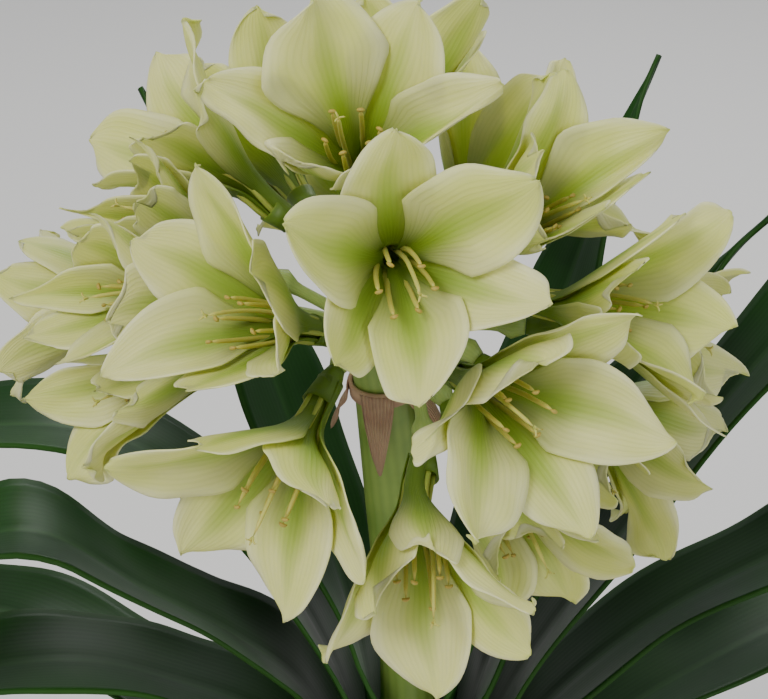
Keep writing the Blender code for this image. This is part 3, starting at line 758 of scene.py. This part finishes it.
def bractOn(bm, down, x, y, k):
    form = spatheForm
    turn, long, droop = form["bracts"][k]
    a = math.radians(turn)
    out = x * math.cos(a) + y * math.sin(a)
    side = np.cross(down, out)
    grown = form["gap"] + form["wall"] * 0.75
    root = heart + down * (form["drop"] + form["bractRoot"])
    root = root + x * math.cos(a) * (form["wide"] + grown) + y * math.sin(a) * (form["deep"] + grown)
    verts, across, s = flatSheet(bm, form["across"], form["along"])
    t = across * 2 - 1
    wide = form["bractHalf"] * (1 - s**1.5) + form["tipHalf"]
    lean = math.radians(droop) * smooth(s, 0.0, 0.5)
    run = long * mm * s
    ripple = form["ripple"] * s * np.sin(s * 14 + k + 2 * t)
    lift = run * np.sin(lean) + form["hollow"] * (0.5 - t * t) + ripple
    points = root + down * (run * np.cos(lean))[:, None] + out * lift[:, None]
    moveTo(verts, points + side * (t * wide)[:, None])


def makeSpathe():
    form = spatheForm
    down = unit(np.array(stalkForm["line"][-1]) - heart)
    x = unit(np.array([1, 0, 0]) - down * down[0])
    y = np.cross(down, x)
    bm = newShape()
    collarOn(bm, down, x, y)
    finished(bm, "spatheCollar", paints["spathe"], ["spathe"])
    bm = newShape()
    for k in range(len(form["bracts"])):
        bractOn(bm, down, x, y, k)
    finished(bm, "spatheBracts", paints["spathe"], [], form["bractWall"])


# Leaves

leafForm = {
    "core": 0.0112, "coreGap": 0.0012,
    "thick": 0.0020, "wall": 0.0016,
    "step": 0.0032,       # from one leaf of a rank to the next
    "foot": 0.1323,
    "firmHigh": 0.170,    # the leaf bases stand upright up to here
    "neckHigh": 0.205, "neckStep": 0.003, "neckLean": 0.0006,
    "openFrom": 0.190, "openStep": 0.006, "openOver": 0.045,
    "wrap": 1.22,         # half width in the neck, as a share of the ring it lies on
    "hollowR": 0.110,     # curve across the open blade
    "endFrom": 0.60, "endOver": 0.40, "taper": 0.97,
    "turnSpan": (0.25, 0.35),  # where the blade turns from its rank to its own way
    "wave": 0.0010, "waves": 34,
    "crease": 0.0008, "creaseHalf": 0.12,
    "across": 14, "along": 72,
}
# name: side, rank from the middle out, half width mm, points of the middle line in mm past the neck
leafRows = {
    "leaf_right_0": (1, 0, 25, (
        (18, 3, 258), (38, 32, 330), (66, 64, 405), (91, 86, 462))),
    "leaf_right_1": (1, 1, 27, (
        (27, 2, 252), (54, 14, 312), (92, 28, 372), (114, 32, 404), (128, 30, 420))),
    "leaf_right_2": (1, 2, 30, (
        (37, 0, 246), (74, 0, 306), (130, 14, 378), (178, 30, 418), (232, 48, 434),
        (292, 68, 420), (340, 84, 382))),
    "leaf_right_3": (1, 3, 30, (
        (47, -2, 237), (85, -10, 278), (130, -18, 310), (192, -10, 336), (258, 4, 334),
        (332, 20, 290))),
    "leaf_right_4": (1, 4, 30, (
        (58, 3, 219), (104, 20, 242), (158, 44, 256), (218, 72, 246), (280, 100, 202))),
    "leaf_left_0": (-1, 0, 26, (
        (-18, 3, 258), (-44, 46, 330), (-74, 86, 392), (-102, 116, 440))),
    "leaf_left_1": (-1, 1, 30, (
        (-27, 2, 252), (-58, 10, 304), (-101, 14, 338), (-150, 12, 346), (-208, 8, 332),
        (-268, 4, 290), (-310, 0, 236))),
    "leaf_left_2": (-1, 2, 30, (
        (-37, -2, 244), (-62, -30, 283), (-92, -58, 316), (-124, -72, 344), (-152, -80, 342),
        (-188, -94, 322), (-222, -108, 274))),
    "leaf_left_3": (-1, 3, 30, (
        (-47, -4, 233), (-84, -24, 262), (-126, -42, 280), (-178, -56, 272), (-232, -70, 226))),
    "leaf_left_4": (-1, 4, 30, (
        (-58, 3, 218), (-102, 26, 238), (-156, 54, 250), (-212, 82, 234), (-262, 108, 190))),
}
leafTints = {
    "green": (0.008, 0.042, 0.006, 1), "lightGreen": (0.017, 0.072, 0.010, 1),
    "line": (0.005, 0.028, 0.004, 1), "rib": (0.035, 0.11, 0.022, 1),
    "base": (0.36, 0.44, 0.16, 1), "edge": (0.05, 0.12, 0.025, 1),
}


def leafPaint():
    p = Paint("darkLeaf", Specular_IOR_Level=0.10)
    tints = leafTints
    across, along = p.overSurface()
    t = abs(across * 2 - 1)
    broad = p.cloud(p.inSpace(), 14.0, 3.0)
    fine = p.cloud(p.onSurface((40, 4, 1)), 2.0, 3.0)
    lines = (across * 150 + (fine - 0.5) * 4).wave()
    colour = p.blend(broad.ramp(0.3, 0.7), tints["green"], tints["lightGreen"])
    colour = p.blend(lines * 0.22, colour, tints["line"])
    colour = p.blend(t.ramp(0.0, 0.10, 1.0, 0.0) * 0.35, colour, tints["rib"])
    colour = p.blend(along.ramp(0.02, 0.20, 0.85, 0.0), colour, tints["base"])
    colour = p.blend(t.ramp(0.93, 1.0) * 0.25, colour, tints["edge"])
    return p.feed(
        Base_Color=colour,
        Roughness=broad.ramp(0.2, 0.8, 0.34, 0.46),
        Normal=p.bump(lines * 0.15 + broad * 0.85, 0.0003, 0.25),
    )


def makeLeaf(name):
    form = leafForm
    side, rank, half, marks = leafRows[name]
    ring = form["core"] + form["coreGap"] + form["thick"] / 2 + rank * form["step"]
    start = [
        (side * ring, 0, form["foot"]),
        (side * ring, 0, form["firmHigh"]),
        (side * (ring + form["neckLean"] * rank), 0, form["neckHigh"] - form["neckStep"] * rank),
    ]
    marks = start + [np.array(mark) * mm for mark in marks]
    points, along = curveThrough(marks, len(start), form["along"] + 1)

    # how the blade faces along its length
    ahead = unit(np.gradient(points, axis=0))
    sideways = np.array([side, 0, 0])
    level = unit(ahead * (1, 1, 0) + sideways * hair)
    mixBy = 0.5 * smooth(along, *form["turnSpan"])[:, None]
    level = unit(sideways * (1 - mixBy) + level * mixBy)
    crossways = unit(np.cross(upwards, level))
    crossways = unit(crossways - ahead * np.sum(crossways * ahead, axis=1)[:, None])
    inward = -np.cross(crossways, ahead)
    turned = np.sum(inward * level, axis=1) > 0.9
    inward = np.where(turned[:, None], -inward, inward)

    # from the wrapped base to the open blade and its end
    openFrom = form["openFrom"] + form["openStep"] * (4 - rank)
    openBy = np.where(along < 0.5, smooth(points[:, 2], openFrom, form["openOver"]), 1.0)
    bend = (1 / ring) * (1 - openBy) + (1 / form["hollowR"]) * openBy
    wide = form["wrap"] * ring * (1 - openBy) + half * mm * openBy
    wide = wide * (1 - smooth(along, form["endFrom"], form["endOver"]) ** 1.5 * form["taper"])

    bm = newShape()
    verts, u, v = flatSheet(bm, form["across"], form["along"], rank / 4)
    at = np.round(v * form["along"]).astype(int)
    t = u * 2 - 1
    x = t * wide[at]
    wave = form["wave"] * openBy[at] * t**2 * np.sin(v * form["waves"] + rank * 2 + side * u * 2)
    crease = form["crease"] * openBy[at] * bell(t, 0, form["creaseHalf"])
    lift = (1 - np.cos(x * bend[at])) / bend[at] + wave - crease
    over = np.sin(x * bend[at]) / bend[at]
    moveTo(verts, points[at] + crossways[at] * over[:, None] + inward[at] * lift[:, None])
    finished(bm, name.replace("_", "") + "Blade", paints["leaf"], [name], form["wall"])


# Pot and soil

potForm = {
    "baseR": 0.072, "topR": 0.098, "rimR": 0.108,
    "high": 0.176, "rimHigh": 0.030,
    "wall": 0.007, "floor": 0.012,
    "drains": 3, "drainR": 0.007, "drainOut": 0.036, "drainSides": 32, "drillLong": 0.05,
    "steps": 96,
}
soilForm = {
    "top": 0.158,
    "gap": 0.0003,
    "wallGap": 0.0016,
    "heap": 0.003, "fall": 0.005,  # the soil at the neck over its top, and its drop to the wall
    "neckR": 0.028, "neckFoot": 0.132,
    "rings": 12, "steps": 72,
    "lumps": (-0.0012, 0.0008),
    "chips": 380,
    "chipSize": (0.0022, 0.0050),
    "chipEdge": 0.005, "chipLift": 0.0006,
    "seed": 11,
}
potTints = {
    "clay": (0.40, 0.145, 0.062, 1), "lightClay": (0.52, 0.215, 0.105, 1),
    "ring": (0.60, 0.29, 0.16, 1), "lime": (0.70, 0.55, 0.44, 1),
}
soilTints = {
    "soil": (0.018, 0.010, 0.006, 1), "lightSoil": (0.060, 0.032, 0.018, 1),
    "bark": (0.20, 0.10, 0.05, 1), "speck": (0.26, 0.17, 0.10, 1),
}


def potPaint():
    p = Paint("firedClay")
    tints = potTints
    spot = p.inSpace()
    broad = p.cloud(spot, 12.0, 4.0)
    grain = p.cloud(spot, 420.0, 3.0, 0.65)
    rings = p.cloud(p.inSpace((1, 1, 60)), 9.0, 2.0)
    lime = p.cloud(spot, 30.0, 5.0, 0.7)
    colour = p.blend(broad.ramp(0.3, 0.7), tints["clay"], tints["lightClay"])
    colour = p.blend(rings.ramp(0.35, 0.75) * 0.35, colour, tints["ring"])
    colour = p.blend(lime.ramp(0.56, 0.75) * 0.35, colour, tints["lime"])
    return p.feed(
        Base_Color=colour,
        Roughness=grain.ramp(0.2, 0.8, 0.78, 0.92),
        Normal=p.bump(grain * 0.5 + rings, 0.0005, 0.6),
    )


def soilPaint():
    p = Paint("barkSoil")
    tints = soilTints
    spot = p.inSpace()
    broad = p.cloud(spot, 160.0, 4.0)
    grain = p.cloud(spot, 900.0, 4.0, 0.7)
    colour = p.blend(broad.ramp(0.3, 0.7), tints["soil"], tints["lightSoil"])
    colour = p.blend(p.mark(), colour, tints["bark"])
    colour = p.blend(grain.ramp(0.55, 0.8) * 0.4, colour, tints["speck"])
    return p.feed(
        Base_Color=colour,
        Roughness=grain.ramp(0.2, 0.8, 0.8, 0.98),
        Normal=p.bump(grain + broad, 0.0012, 0.8),
    )


def spun(profile, steps):
    bm = newShape()
    verts = [bm.verts.new((r, 0, z)) for r, z in profile]
    edges = [bm.edges.new(pair) for pair in zip(verts, verts[1:])]
    whole = {"angle": tau, "steps": steps, "use_merge": True}
    bmesh.ops.spin(bm, geom=verts + edges, cent=(0, 0, 0), axis=(0, 0, 1), **whole)
    bmesh.ops.remove_doubles(bm, verts=bm.verts[:], dist=hair)
    return bm


def potSlope():
    return (potForm["topR"] - potForm["baseR"]) / potForm["high"]


def innerWallAt(z):
    # the pot's inner radius at a height
    form = potForm
    lowR = form["baseR"] - form["wall"] + potSlope() * form["floor"]
    grown = form["topR"] - form["wall"] - lowR
    return lowR + grown * (z - form["floor"]) / (form["high"] - form["floor"])


def drilled(piece, turn):
    # cuts one drain hole through the floor of the pot
    form = potForm
    cutter = bmesh.new()
    rod = {"radius1": form["drainR"], "radius2": form["drainR"], "depth": form["drillLong"]}
    bmesh.ops.create_cone(cutter, cap_ends=True, segments=form["drainSides"], **rod)
    spot = (form["drainOut"] * math.cos(turn), form["drainOut"] * math.sin(turn), 0)
    bmesh.ops.translate(cutter, verts=cutter.verts[:], vec=spot)
    mesh = bpy.data.meshes.new("drain")
    cutter.to_mesh(mesh)
    cutter.free()
    drill = bpy.data.objects.new("drain", mesh)
    bpy.context.scene.collection.objects.link(drill)
    cut = piece.modifiers.new("Drain", "BOOLEAN")
    cut.operation, cut.object, cut.solver = "DIFFERENCE", drill, "EXACT"
    graph = bpy.context.evaluated_depsgraph_get()
    graph.update()
    result = bpy.data.meshes.new_from_object(piece.evaluated_get(graph))
    piece.modifiers.clear()
    piece.data = result
    bpy.data.objects.remove(drill)


def makePot():
    form = potForm
    slope = potSlope()
    high, rim, base, floor = form["high"], form["rimR"], form["baseR"], form["floor"]
    rimZ = high - form["rimHigh"]
    floorR = innerWallAt(floor)
    topR = innerWallAt(high)
    # from the middle of the floor up the inside, over the rounded rim and down to the foot
    profile = [
        (0, floor), (floorR - 0.004, floor), (floorR - 0.001, floor + 0.001),
        (floorR + 0.0006, floor + 0.004), (topR - 0.0002, high - 0.0015),
        (topR + 0.0012, high), (rim - 0.0032, high), (rim - 0.0012, high - 0.0008),
        (rim - 0.0002, high - 0.0030), (rim - 0.0010, rimZ + 0.006), (rim - 0.0020, rimZ + 0.0012),
        (rim - 0.0034, rimZ), (base + slope * rimZ + 0.0012, rimZ - 0.0004),
        (base + slope * rimZ, rimZ - 0.0025), (base + 0.0012, 0.0040), (base - 0.0002, 0.0012),
        (base - 0.0020, 0.0), (0, 0),
    ]
    piece = finished(spun(profile, form["steps"]), "clayPot", paints["pot"], ["pot"])
    for k in range(form["drains"]):
        drilled(piece, tau * (k / form["drains"] + 0.25))


def chipOn(bm, chance, neckR, edgeR, topAt):
    # one chip of bark on the soil, turned and tilted by chance
    form = soilForm
    marks = bm.verts.layers.float["mark"]
    nearest, furthest = neckR + form["chipEdge"], edgeR - form["chipEdge"]
    r = math.sqrt(chance.uniform(nearest**2, furthest**2))
    a = chance.uniform(0, tau)
    chip = bmesh.ops.create_icosphere(bm, subdivisions=1, radius=1.0)["verts"]
    size = chance.uniform(*form["chipSize"])
    stretch = (chance.uniform(0.8, 1.5), chance.uniform(0.5, 0.9), chance.uniform(0.25, 0.5))
    spin = chance.uniform(0, tau)
    tilt = chance.uniform(-0.4, 0.4)
    shade = chance.uniform(0.0, 1.0) ** 2
    middle = Vector((r * math.cos(a), r * math.sin(a), topAt(r) + form["chipLift"]))
    for vert in chip:
        x, y, z = (vert.co[i] * size * stretch[i] * chance.uniform(0.8, 1.15) for i in range(3))
        z, x = z * math.cos(tilt) + x * math.sin(tilt), x * math.cos(tilt) - z * math.sin(tilt)
        x, y = x * math.cos(spin) - y * math.sin(spin), x * math.sin(spin) + y * math.cos(spin)
        vert.co = middle + Vector((x, y, z))
        vert[marks] = shade


def makeSoil():
    form = soilForm
    top, low, neckR = form["top"], potForm["floor"] + form["gap"], form["neckR"]
    edgeR = innerWallAt(top) - form["wallGap"]
    lowR = innerWallAt(low) - form["wallGap"]
    cornerR = innerWallAt(low + 0.006) - form["wallGap"]

    def topAt(r):
        return top + form["heap"] - form["fall"] * (r - neckR) / (edgeR - neckR)

    profile = [(0, form["neckFoot"]), (neckR, form["neckFoot"]), (neckR, topAt(neckR))]
    for r in neckR + (edgeR - neckR) * np.linspace(0.1, 1.0, form["rings"]):
        profile.append((r, topAt(r)))
    profile += [(cornerR, low + 0.005), (lowR - 0.005, low), (0, low)]
    bm = spun(profile, form["steps"])
    chance = random.Random(form["seed"])
    for vert in bm.verts:
        r = math.hypot(vert.co.x, vert.co.y)
        if vert.co.z > top - 0.004 and neckR + 0.002 < r < edgeR - 0.002:
            vert.co.z += chance.uniform(*form["lumps"])
    for _ in range(form["chips"]):
        chipOn(bm, chance, neckR, edgeR, topAt)
    piece = finished(bm, "barkSoil", paints["soil"], ["soil"])
    piece.data.shade_flat()


paints = {
    "tepal": tepalPaint(),
    "thread": threadPaint(),
    "stalk": stalkPaint(),
    "spathe": spathePaint(),
    "leaf": leafPaint(),
    "pot": potPaint(),
    "soil": soilPaint(),
}
print("finishes mixed")

blooms = {name: Bloom(name, row) for name, row in bloomRows.items()}
partBlooms(blooms)
for bloom in blooms.values():
    makeBloom(bloom)
print("blooms opened")
makeStalk(blooms)
makeSpathe()
print("stalk raised")
for name in leafRows:
    makeLeaf(name)
print("leaves arched")
makePot()
makeSoil()
print("pot filled")

# Studio

studio = {
    "pixels": (768, 699), "pixelsPerMm": 3.04, "heartAt": (378, 335), "lookDown": 22,
    "away": 1.0, "sensor": 36.0,
    "floorHalf": 6, "floor": (0.80, 0.79, 0.77), "floorRough": 0.8,
    "sky": (0.95, 0.97, 1.0), "skyStrength": 0.50,
}
# place, size, watts and colour
lights = {
    "key": ((-0.9, -1.3, 1.7), 0.8, 30, (1.0, 0.98, 0.92)),
    "fill": ((1.4, -1.0, 0.9), 1.2, 9, (0.94, 0.97, 1.0)),
    "rim": ((0.3, 1.5, 1.5), 1.0, 14, (1.0, 1.0, 1.0)),
}


def aimed(name, what, spot):
    # a camera or lamp that looks at the heart of the flower head
    thing = bpy.data.objects.new(name, what)
    thing.location = Vector(spot)
    thing.rotation_euler = (Vector(heart) - Vector(spot)).to_track_quat("-Z", "Y").to_euler()
    bpy.context.scene.collection.objects.link(thing)
    return thing


def makeCamera():
    tilt = math.radians(studio["lookDown"])
    back = np.array([0, -math.cos(tilt), math.sin(tilt)])
    wide, high = studio["pixels"]
    lens = bpy.data.cameras.new("camera")
    lens.sensor_width = studio["sensor"]
    lens.lens = studio["sensor"] * studio["pixelsPerMm"] * studio["away"] * 1000 / wide
    lens.shift_x = (wide / 2 - studio["heartAt"][0]) / wide
    lens.shift_y = (studio["heartAt"][1] - high / 2) / wide
    bpy.context.scene.camera = aimed("camera", lens, heart + back * studio["away"])


def makeFloor():
    bm = newShape()
    bmesh.ops.create_grid(bm, x_segments=1, y_segments=1, size=studio["floorHalf"])
    mesh = bpy.data.meshes.new("floor")
    bm.to_mesh(mesh)
    bm.free()
    floor = bpy.data.objects.new("floor", mesh)
    bpy.context.scene.collection.objects.link(floor)
    paint = Paint("floorPaint", Base_Color=(*studio["floor"], 1), Roughness=studio["floorRough"])
    mesh.materials.append(paint.material)


def makeLights():
    world = bpy.data.worlds.new("studio")
    world.use_nodes = True
    sky = world.node_tree.nodes["Background"]
    sky.inputs["Color"].default_value = (*studio["sky"], 1)
    sky.inputs["Strength"].default_value = studio["skyStrength"]
    bpy.context.scene.world = world
    for name, (spot, size, power, colour) in lights.items():
        lamp = bpy.data.lights.new(name, "AREA")
        lamp.size, lamp.energy, lamp.color = size, power, colour
        aimed(name, lamp, spot)


makeCamera()
makeFloor()
makeLights()
print("studio lit")
